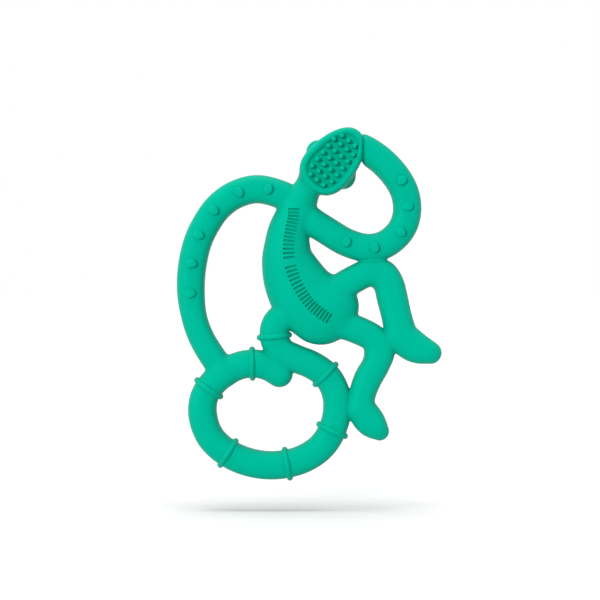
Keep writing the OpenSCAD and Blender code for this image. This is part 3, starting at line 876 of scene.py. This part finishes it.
def cut_grooves(torso):
    """Sinks the grooves into the body. Its skin gets the field's normals again, the grooves flat ones."""
    cutters = groove_cutters()
    cut = torso.modifiers.new("grooves", "BOOLEAN")
    cut.operation, cut.solver, cut.object = "DIFFERENCE", "EXACT", cutters
    bpy.context.view_layer.update()
    solved = torso.evaluated_get(bpy.context.evaluated_depsgraph_get())
    mesh = bpy.data.meshes.new_from_object(solved)
    torso.modifiers.clear()
    torso.data = mesh
    bpy.data.objects.remove(cutters)
    mesh.update(calc_edges=True)
    place = np.zeros(len(mesh.vertices) * 3, np.float32)
    mesh.vertices.foreach_get("co", place)
    place = place.reshape(-1, 3) / MM
    corner = np.zeros(len(mesh.loops), np.int32)
    mesh.loops.foreach_get("vertex_index", corner)
    count = np.zeros(len(mesh.polygons), np.int32)
    mesh.polygons.foreach_get("loop_total", count)
    flat = np.zeros(len(mesh.polygons) * 3, np.float32)
    mesh.polygons.foreach_get("normal", flat)
    flat = np.repeat(flat.reshape(-1, 3), count, axis=0)
    soft = skin_normal(place)[corner]
    on_skin = np.abs(sample(skin, place))[corner] < 0.04
    use = on_skin & ((soft * flat).sum(1) > 0.9)
    mesh.polygons.foreach_set("use_smooth", np.ones(len(mesh.polygons), bool))
    mesh.normals_split_custom_set(np.where(use[:, None], soft, flat).astype(float).tolist())
    return torso


# ---- the head's field, bristles and far side ----------------------------------------------------------
def to_head(u, v, y, at=HEAD_AT, turn=HEAD_TURN):
    """Points of the head's long axis, short axis and depth, put into the frame."""
    c, s = math.cos(turn), math.sin(turn)
    return np.stack([at[0] + u * c - v * s, y, at[1] + u * s + v * c], 1)


def brush_pad():
    """Pad that the bristles stand on: egg-shaped rings, from a lip under the rim down to a flat middle.

    With t running from 0 at the lip to 1 where it ends, the lip stands PAD_LIP (1 - t)^2 over the middle.
    """
    inset = np.array([PAD_INSET, 2.15, 2.4, 2.8, 3.3, 4.2, 5.5, 6.6, 7.4])
    t = np.clip((inset - PAD_INSET) / PAD_SLOPE, 0, 1)
    y = DISH_Y - PAD_RISE - PAD_LIP * (1 - t) ** 2
    rows = np.vstack([[PAD_INSET, DISH_Y + PAD_SUNK], np.stack([inset, y], 1)])
    turns = 128
    angle = np.arange(turns) * 2 * math.pi / turns
    bend = lambda k: np.sign(k) * np.abs(k) ** (2 / HEAD_POWER)
    u = (HEAD_LONG - rows[:, :1]) * bend(np.cos(angle))
    taper = 1 - HEAD_TAPER * bend(np.cos(angle))
    v = (HEAD_SHORT - rows[:, :1]) * bend(np.sin(angle)) * taper
    deep = np.repeat(rows[:, 1], turns)
    points = to_head(u.ravel(), v.ravel(), deep)
    centre = to_head(np.zeros(2), np.zeros(2), np.array([DISH_Y + PAD_SUNK, deep[-1]]))
    faces = revolve_faces(len(rows), turns)
    last = (len(rows) - 1) * turns
    k = np.arange(turns)
    cap = np.stack([np.full(turns, len(points) + 1), last + k, last + (k + 1) % turns], 1)
    points = np.vstack([points, centre])
    faces = np.vstack([faces, cap])
    return settle(put_mesh("brush_pad_dome", points, outward(points, faces)), "brush_pad")


def bristle_spots():
    """A square field of five by four, and three more at each end of the oval."""
    field = [(i, k) for i in (-2, -1, 0, 1, 2) for k in (-1.5, -0.5, 0.5, 1.5)]
    ends = [(i, k) for i in (-2.9, 2.9) for k in (-1, 0, 1)]
    return np.array(field + ends) * [PITCH_LONG, PITCH_SHORT]


def on_head_front(spot, u, v, h):
    """Placing rule for a bristle: height is towards the front."""
    return to_head(spot[0] + u, spot[1] + v, DISH_Y - PAD_RISE - h, BRISTLES_AT, BRISTLES_TURN)


def on_head_back(spot, u, v, h):
    """Placing rule for a dome of the far side, stretched to its own half widths and height."""
    return to_head(spot[0] + u * spot[2], spot[1] + v * spot[3], FACE_Y + h * spot[4])


regions = mould()
cut_grooves(regions["torso"])
brush_pad()
stubs("bristle_field", "bristles", bristle_spots(), on_head_front,
      rounded_profile(BRISTLE_R, BRISTLE_H, edge=0.4, flare=0.2, sink=0.3), 20)
stubs("face_relief_domes", "face_relief", FACE_SPOTS, on_head_back, np.array(DOME), 48)


# ---- studs and ridges ---------------------------------------------------------------------------------
def stud_row(name, node, spots, limb):
    """Studs of one arm, front and back, in one piece."""
    line = smooth_line(limb, 0, len(limb) - 1, 0.2)
    front, back = on_limb(line, -1), on_limb(line, 1)
    both = [(s, -1) for s in spots] + [(s, 1) for s in spots]
    rule = lambda spot, u, v, h: (front if spot[1] < 0 else back)(spot[0], u, v, h)
    profile = rounded_profile(STUD_R, STUD_H, edge=0.28, flare=0.2, sink=0.5)
    return stubs(name, node, both, rule, profile, 40)


def ridges():
    """All the bands of the tail, in one piece."""
    line = smooth_line(TAIL, 0, len(TAIL) - 1, 0.2)
    points, faces, count = [], [], 0
    for at in RIDGES:
        p, f = band(line, at)
        points.append(p)
        faces.append(f + count)
        count += len(p)
    points, faces = np.vstack(points), np.vstack(faces)
    return settle(put_mesh("tail_ridge_bands", points, outward(points, faces)), "tail_ridges")


stud_row("left_arm_stud_row", "left_arm_studs", LEFT_STUDS, LEFT_ARM)
stud_row("right_arm_stud_row", "right_arm_studs", RIGHT_STUDS, RIGHT_ARM)
ridges()


# ---- floor, light and camera ----------------------------------------------------------------------------
def paper():
    """Matte white card: a faint fibre grain, just bright enough to read as white."""
    material, tree, place = new_material("matte_card")
    fibre = add(tree, "ShaderNodeTexNoise", {"Scale": 400.0, "Detail": 4.0}, {"Vector": place})
    tone = add(tree, "ShaderNodeMix", {"data_type": "RGBA", 6: srgb(CARD_LOW), 7: srgb(CARD_HIGH)},
               {0: fibre.outputs["Fac"]})
    skin = add(tree, "ShaderNodeBsdfPrincipled", {"Roughness": 0.9, "Specular IOR Level": 0.1},
               {"Base Color": tone.outputs[2]})
    add(tree, "ShaderNodeOutputMaterial", None, {"Surface": skin.outputs[0]})
    return material


def floor():
    """Round sheet of card under the object."""
    turns, radius = 96, FLOOR_R
    angle = np.arange(turns) * 2 * math.pi / turns
    ring = np.stack([np.cos(angle) * radius, np.sin(angle) * radius, np.full(turns, FLOOR_Z)], 1)
    points = np.vstack([ring, [[0, 0, FLOOR_Z]]]) / MM
    k = np.arange(turns)
    made = put_mesh("floor", points, np.stack([k, (k + 1) % turns, np.full(turns, turns)], 1))
    made.data.materials.append(paper())


def softbox(name, energy, spread, origin):
    """A large, even light from one side, as a softbox far off gives."""
    data = bpy.data.lights.new(name, "SUN")
    data.energy, data.angle = energy, math.radians(spread)
    lamp = bpy.data.objects.new(name, data)
    lamp.location = origin
    lamp.rotation_euler = (-Vector(origin)).to_track_quat("-Z", "Y").to_euler()
    bpy.context.scene.collection.objects.link(lamp)


def studio():
    """White surroundings, the floor and three softboxes."""
    world = bpy.data.worlds.new("studio")
    bpy.context.scene.world = world
    world.use_nodes = True
    world.node_tree.nodes["Background"].inputs["Color"].default_value = (1, 1, 1, 1)
    world.node_tree.nodes["Background"].inputs["Strength"].default_value = WORLD
    floor()
    softbox("key", *KEY)
    softbox("fill", *FILL)
    softbox("overhead", *OVERHEAD)


def camera():
    """Camera straight in front of the object and a little above it."""
    data = bpy.data.cameras.new("camera")
    data.lens, data.sensor_width, data.clip_start = LENS, 36.0, 0.01
    eye = bpy.data.objects.new("camera", data)
    eye.location = Vector(AIM) + AWAY * Vector((0, -math.cos(LIFT), math.sin(LIFT)))
    eye.rotation_euler = (Vector(AIM) - eye.location).to_track_quat("-Z", "Y").to_euler()
    bpy.context.scene.collection.objects.link(eye)
    bpy.context.scene.camera = eye


studio()
camera()
view = bpy.context.scene.view_settings
view.view_transform, view.look, view.exposure, view.gamma = "Standard", "None", 0.0, 1.0
